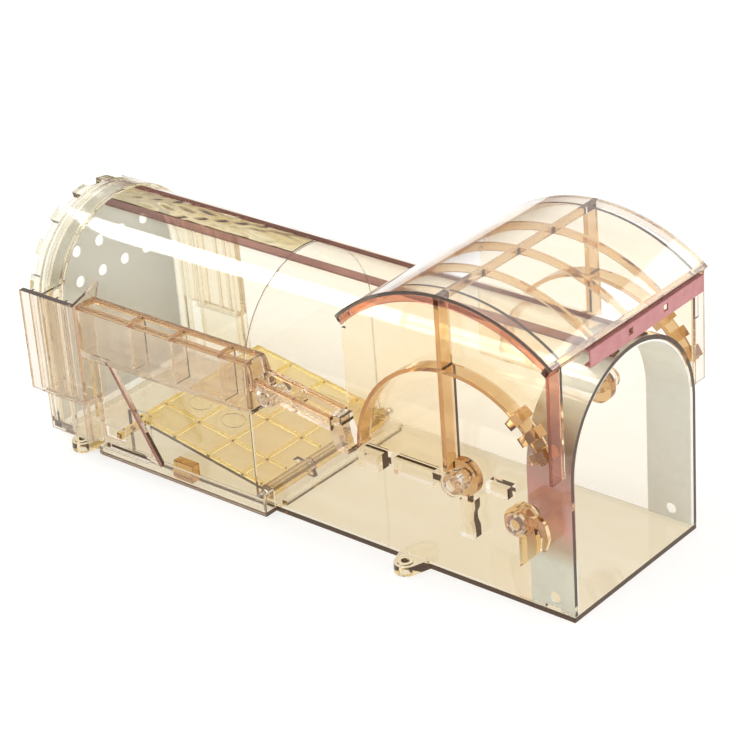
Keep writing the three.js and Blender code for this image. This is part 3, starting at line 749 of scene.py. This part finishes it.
def leg_edge_shade():
    """A dark brown strip on the slanting edge of the lever's leg: painted edge shade."""
    edge = [(-99.6, 57.5), (-98.2, 57.5), (-71.2, 12.9), (-71.2, 11.0), (-72.4, 11.9)]
    return across_y(edge, LEG_YS[0] - 0.7, LEG_YS[0] - AIR)


def lever_pin():
    low, high = box("lever_pin")
    return join(rod_y(LEVER.x, LEVER.z, LEVER_PIN_R, low.y + 0.8, high.y),
                rod_y(LEVER.x, LEVER.z, LEVER_PIN_R + 1, low.y, LEVER_YS[0] - GAP))


# ---- hood -----------------------------------------------------------------------------------------
def drum(r0, r1, a0=HOOD_DEGS[0], a1=HOOD_DEGS[1], step=1.5):
    return sector(PIVOT.x, PIVOT.z, r0, r1, a0, a1, step)


def hood_block(x0, x1, y0, y1, z0, z1):
    return block(PIVOT.x + x0, PIVOT.x + x1, y0, y1, PIVOT.z + z0, PIVOT.z + z1)


HOOD_UNDER = HOOD_R - HOOD_T - AIR
RIM_T = 1.6


def strip_room():
    low, high = box("hood_lip_strip")
    return block(low.x - GAP, 170, low.y - GAP, high.y + GAP, 100, high.z + GAP)


def hood_sheet():
    return cut(across_y(drum(HOOD_R - HOOD_T, HOOD_R), -HOOD_HALF_W, HOOD_HALF_W), strip_room())


def hood_side_wall():
    y0, y1 = -SIDE_Y - SIDE_T, -SIDE_Y
    plate = common(hood_block(-59.5, SIDE_FRONT, y0, y1, SIDE_LOW, HOOD_R),
                   rod_y(PIVOT.x, PIVOT.z, HOOD_UNDER, y0 - 1, y1 + 1, 240))
    rear_strip = hood_block(SIDE_REAR, -59, y0, y1, SIDE_LOW, 52)
    leg = hood_block(LEG_BACK, SIDE_FRONT, y0, y1, LEG_LOW, 40)
    window = [across_y(drum(0.05, RING_R + 0.4, -20, 88, 2), y0 - 1, y1 + 1),
              hood_block(SPOKE[1], 3, y0 - 1, y1 + 1, -5, RING_R + 0.2),
              hood_block(0, 60, y0 - 1, y1 + 1, -5, LEG_LOW)]
    return cut(join(cut(join(plate, rear_strip), window), leg),
               rod_y(PIVOT.x, PIVOT.z, BOSS_R + AIR, y0 - 1, y1 + 1, 64), hood_frame(AIR))


def hood_sides():
    return join(twin(hood_side_wall))


def hood_flange():
    """Everything that stands out from one side wall, apart from the rim."""
    y0, y1 = -HOOD_HALF_W, -SIDE_Y - SIDE_T - AIR
    ring = across_y(drum(RING_R, RING_R + RING_T, *RING_DEGS, 2), y0, y1)
    teeth = [across_y(drum(*TOOTH_RS, deg - TOOTH_HALF_DEG, deg + TOOTH_HALF_DEG), y0, y1)
             for deg in TOOTH_DEGS]
    return cut(join(ring, teeth, hood_block(*SPOKE, y0, y1, 4, HOOD_R - 2.5),
                    rod_y(PIVOT.x, PIVOT.z, BOSS_R, -BOSS_Y, -SIDE_Y, 64)),
               rod_y(PIVOT.x, PIVOT.z, PIN_R + RUN, -HOOD_HALF_W - 1, HOOD_HALF_W + 1))


def hood_flanges():
    return join(twin(hood_flange))


def hood_frame(grow):
    """The ribs under the sheet: three arcs, the spine and the lips."""
    inner, outer = RIB_INNER_R - grow, HOOD_UNDER + grow
    full = (-HOOD_HALF_W, HOOD_HALF_W)
    ribs = [across_y(drum(inner, outer), y - 0.9 - grow, y + 0.9 + grow) for y in ARC_RIB_YS]
    spine = hood_block(SPOKE[0] - grow, SPOKE[1] + grow, *full, inner, outer - 0.15)
    lip = across_y(drum(79.4 - grow, outer, HOOD_DEGS[0], HOOD_DEGS[0] + 2 + grow), *full)
    rear_lip = across_y(drum(81.6 - grow, outer, HOOD_DEGS[1] - 1.2 - grow, HOOD_DEGS[1]), *full)
    return join(ribs, spine, lip, rear_lip)


def hood_ribs():
    return cut(hood_frame(0), strip_room())


def near_rim():
    """The near end rim, which the flanges and the ribs run into, and the edge of the front leg."""
    y0 = -HOOD_HALF_W
    room = [hood_block(SPOKE[0] - AIR, SPOKE[1] + AIR, y0 - 1, y0 + 3, 4, HOOD_R),
            hood_block(SIDE_FRONT - 1.6 - AIR, SIDE_FRONT + 1, y0 - 1, y0 + 3, LEG_LOW, 66)]
    rim = cut(across_y(drum(RIB_INNER_R, HOOD_UNDER), y0, y0 + RIM_T), room, hood_frame(AIR))
    return join(rim, hood_block(SIDE_FRONT - 1.6, SIDE_FRONT, y0, -SIDE_Y - SIDE_T - AIR, LEG_LOW, 66))


def far_rim():
    """The near rim's mirror image, cut back where the strip crosses its leg."""
    return cut(mirrored(near_rim()), strip_room())


def hood_lip_strip():
    low, high = box("hood_lip_strip")
    t, half = STRIP_T, 1.5
    middle_y, middle_z = (low.y + high.y) / 2, (low.z + high.z) / 2 + 0.4
    channel = block(low.x - 1, high.x - t, low.y - 1, high.y + 1, low.z + t, high.z - t)
    holes = [block(high.x - 2 * t, high.x + t, middle_y + y - half, middle_y + y + half,
                   middle_z - half, middle_z + half) for y in STRIP_HOLE_YS]
    return cut(block(low.x, high.x, low.y, high.y, low.z, high.z), channel, holes)


def hollow_pin(x, z, depth, sleeve_y):
    body = join(rod_y(x, z, PIN_R, -sleeve_y - 1, -HALF_W + WALL),
                rod_y(x, z, PIN_SLEEVE_R, -PIN_END_Y, -sleeve_y),
                rod_y(x, z, PIN_RIM_R, -PIN_END_Y, -PIN_END_Y + 1.8))
    return cut(body, rod_y(x, z, PIN_BORE_R, -PIN_END_Y - 1, -PIN_END_Y + depth))


def hood_pin():
    return hollow_pin(PIVOT.x, PIVOT.z, 6, BOSS_Y + GAP)


def pawl_pin():
    return hollow_pin(PAWL.x, PAWL.z, 8, 47)


def lock_pawl():
    blade = [(-0.5, -2), (-0.5, -21.4), (0.8, -20.4), (8, -12.8), (8.6, -7), (7, 0)]
    finger = [(0, -3), (5, 4.5), (11, 7), (15, 5), (16.5, -2), (14.5, -8), (12.5, -8), (13, -2),
              (11, 2), (7, 1)]
    rim_room = rod_y(0, 0, PIN_RIM_R + RUN, -60, -55.3)
    inner = common(across_y(finger, -55.4, -54.8), rod_y(0, 0, PAWL_HUB_R, -56, -54))
    body = join(across_y(blade, -54.5, -50.6), cut(across_y(finger, -57.4, -55.3), rim_room), inner,
                rod_y(0, 0, PAWL_HUB_R, -55.3, -49.6, 64))
    whole = cut(body, rod_y(0, 0, PIN_SLEEVE_R + RUN, -60, -40))
    return moved(whole, Matrix.Translation((PAWL.x * MM, 0, PAWL.z * MM)))


# ---- every piece in its place ---------------------------------------------------------------------
PIECES = [
    # name, solid, body, CAD node, slot, material, edge rounding
    ("base_moulding", base_plate, "frame", "base_plate", "clear_plastic", BASE, 0.25),
    ("front_tunnel_moulding", tunnel_front, "frame", "tunnel_front", "clear_plastic", FRONT_CLEAR, 0.25),
    ("rear_tunnel_moulding", tunnel_rear, "frame", "tunnel_rear", "clear_plastic", REAR_CLEAR, 0.25),
    ("roof_rail_moulding", roof_rails, "frame", "tunnel_front", "amber_plastic", BROWN, 0.2),
    ("roof_band_moulding", roof_band, "frame", "tunnel_rear", "amber_plastic", SWIRL, 0),
    ("mouth_liner", entrance_liner, "frame", "entrance_liner", "steel", LINER_STEEL, 0.12),
    ("near_guard_moulding", lambda: rear_guard(60, 30, 81), "frame", "rear_guard_near",
     "clear_plastic", MAUVE, 0.25),
    ("far_guard_moulding", lambda: mirrored(rear_guard(54, 30, 78)), "frame", "rear_guard_far",
     "clear_plastic", CLEAR, 0.25),
    ("treadle_channel", treadle_guard, "frame", "treadle_guard", "clear_plastic", CLEAR, 0.25),
    ("treadle_end_stop", treadle_stop, "frame", "treadle_stop", "amber_plastic", DEEP, 0.4),
    ("treadle_rod", treadle_shaft, "frame", "treadle_shaft", "pin_steel", SHAFT_STEEL, 0),
    ("lever_rivet", lever_pin, "frame", "lever_pin", "amber_plastic", PIN, 0.3),
    ("near_hub_pin", hood_pin, "frame", "hood_pin_near", "clear_plastic", PIN, 0.3),
    ("far_hub_pin", lambda: mirrored(hood_pin()), "frame", "hood_pin_far", "clear_plastic", PIN, 0.3),
    ("pawl_hub_pin", pawl_pin, "frame", "pawl_pin", "clear_plastic", PIN, 0.3),
    ("cap_moulding", rear_cap, "cap_body", "rear_cap", "amber_plastic", CAP, 0.4),
    ("vent_screen", rear_screen, "cap_body", "rear_screen", "steel", SCREEN_STEEL, 0),
    ("hood_sheet_moulding", hood_sheet, "hood_body", "hood", "clear_plastic", SHEET, 0.25),
    ("hood_side_moulding", hood_sides, "hood_body", "hood", "clear_plastic", SIDE, 0.2),
    ("hood_rib_moulding", hood_ribs, "hood_body", "hood", "amber_plastic", TAN, 0.2),
    ("near_rim_moulding", near_rim, "hood_body", "hood", "amber_plastic", ROSY_PAINTED_HIGHLIGHT, 0.2),
    ("far_rim_moulding", far_rim, "hood_body", "hood", "amber_plastic", FAR_RIM, 0.2),
    ("hood_flange_moulding", hood_flanges, "hood_body", "hood", "amber_plastic", TAN, 0.25),
    ("hood_strip", hood_lip_strip, "hood_body", "hood_lip_strip", "rose_metal", ROSE, 0.15),
    ("lever_moulding", trip_lever, "lever_body", "trip_lever", "clear_plastic", MAUVE, 0.25),
    ("lever_rail_moulding", lambda: lever_rails(0), "lever_body", "trip_lever", "amber_plastic", RAIL, 0.3),
    ("lever_leg_painted_edge_shade", leg_edge_shade, "lever_body", "trip_lever", "amber_plastic", BROWN, 0.15),
    ("treadle_moulding", treadle, "treadle_body", "treadle", "clear_plastic", GOLD, 0.25),
    ("treadle_rib_moulding", treadle_ribs, "treadle_body", "treadle", "clear_plastic", YELLOW, 0.2),
    ("pawl_moulding", lock_pawl, "pawl_body", "lock_pawl", "amber_plastic", DEEP, 0.3),
]
for name, build, body, node, slot, look, edge in PIECES:
    finished(name, build(), body, node, look, edge)


# ---- floor, light and camera ----------------------------------------------------------------------
def floor():
    bm = bmesh.new()
    bmesh.ops.create_grid(bm, x_segments=8, y_segments=8, size=4)
    piece = link("floor", bm)
    made, tree, shader = material("floor_paint")
    soft = noise(tree, (1, 1, 1), 3, 4, 0.5)
    tree.links.new(ramp(tree, soft, [(0.3, (0.33, 0.33, 0.325)), (0.7, (0.35, 0.35, 0.345))]),
                   shader.inputs["Base Color"])
    shader.inputs["Roughness"].default_value = 0.75
    shader.inputs["Specular IOR Level"].default_value = 0.1
    shader.inputs["Emission Color"].default_value = (1.0, 0.985, 0.96, 1)
    shader.inputs["Emission Strength"].default_value = 0.70
    piece.data.materials.append(made)
    piece.location.z = -0.2 * MM


def studio_sky():
    """A white studio, dim and warm towards the horizon, so that clear edges have something to bend."""
    world = bpy.data.worlds.new("studio")
    bpy.context.scene.world = world
    world.use_nodes = True
    tree = world.node_tree
    where = add_node(tree, "ShaderNodeTexCoord")
    parts = add_node(tree, "ShaderNodeSeparateXYZ")
    tree.links.new(where.outputs["Generated"], parts.inputs["Vector"])
    rise = add_node(tree, "ShaderNodeMapRange")
    rise.inputs["From Min"].default_value = -0.1
    tree.links.new(parts.outputs["Z"], rise.inputs["Value"])
    sky = ramp(tree, rise.outputs["Result"], [
        (0.0, (0.24, 0.15, 0.12)), (0.20, (0.30, 0.19, 0.16)), (0.38, (0.72, 0.69, 0.67)),
        (0.55, (0.95, 0.95, 0.97)), (1.0, (1, 1, 1))])
    tree.links.new(sky, tree.nodes["Background"].inputs["Color"])
    tree.nodes["Background"].inputs["Strength"].default_value = 1.0


def away(azimuth, elevation):
    """The direction from the object towards a viewer; azimuth 0 looks along +Y."""
    a, e = math.radians(azimuth), math.radians(elevation)
    return Vector((math.sin(a) * math.cos(e), -math.cos(a) * math.cos(e), math.sin(e)))


def softbox(name, azimuth, elevation, distance, width, height, watts):
    data = bpy.data.lights.new(name, "AREA")
    data.shape = "RECTANGLE"
    data.size = width
    data.size_y = height
    data.energy = watts
    lamp = bpy.data.objects.new(name, data)
    bpy.context.scene.collection.objects.link(lamp)
    back = away(azimuth, elevation)
    lamp.location = AIM + back * distance
    lamp.rotation_mode = "QUATERNION"
    lamp.rotation_quaternion = (-back).to_track_quat("-Z", "Y")


LIGHT_BOUNCES = 32
AIM = Vector((0.0080, 0.0031, 0.0543))
CAMERA = {"azimuth": 41.41, "elevation": 27.664, "roll": -4.196, "distance": 1.1473, "lens": 123.53}


def camera():
    data = bpy.data.cameras.new("camera")
    data.lens = CAMERA["lens"]
    data.sensor_width = 36
    data.clip_start = 0.01
    eye = bpy.data.objects.new("camera", data)
    bpy.context.scene.collection.objects.link(eye)
    back = away(CAMERA["azimuth"], CAMERA["elevation"])
    eye.location = AIM + back * CAMERA["distance"]
    eye.rotation_mode = "QUATERNION"
    eye.rotation_quaternion = ((-back).to_track_quat("-Z", "Y")
                               @ Matrix.Rotation(math.radians(CAMERA["roll"]), 4, "Z").to_quaternion())
    bpy.context.scene.camera = eye


floor()
studio_sky()
softbox("key", -20, 55, 1.4, 0.9, 0.25, 4.0)
softbox("rim", 150, 40, 1.4, 1.2, 0.2, 1.6)
softbox("side", 95, 35, 1.3, 0.3, 0.9, 2.5)
softbox("streak", -83, 54.4, 1.2, 0.3, 0.5, 4.0)
camera()

scene = bpy.context.scene
scene.view_settings.view_transform = "Standard"
scene.cycles.max_bounces = LIGHT_BOUNCES
scene.cycles.transmission_bounces = LIGHT_BOUNCES
scene.cycles.glossy_bounces = 8
scene.cycles.sample_clamp_indirect = 6
scene.cycles.use_denoising = True
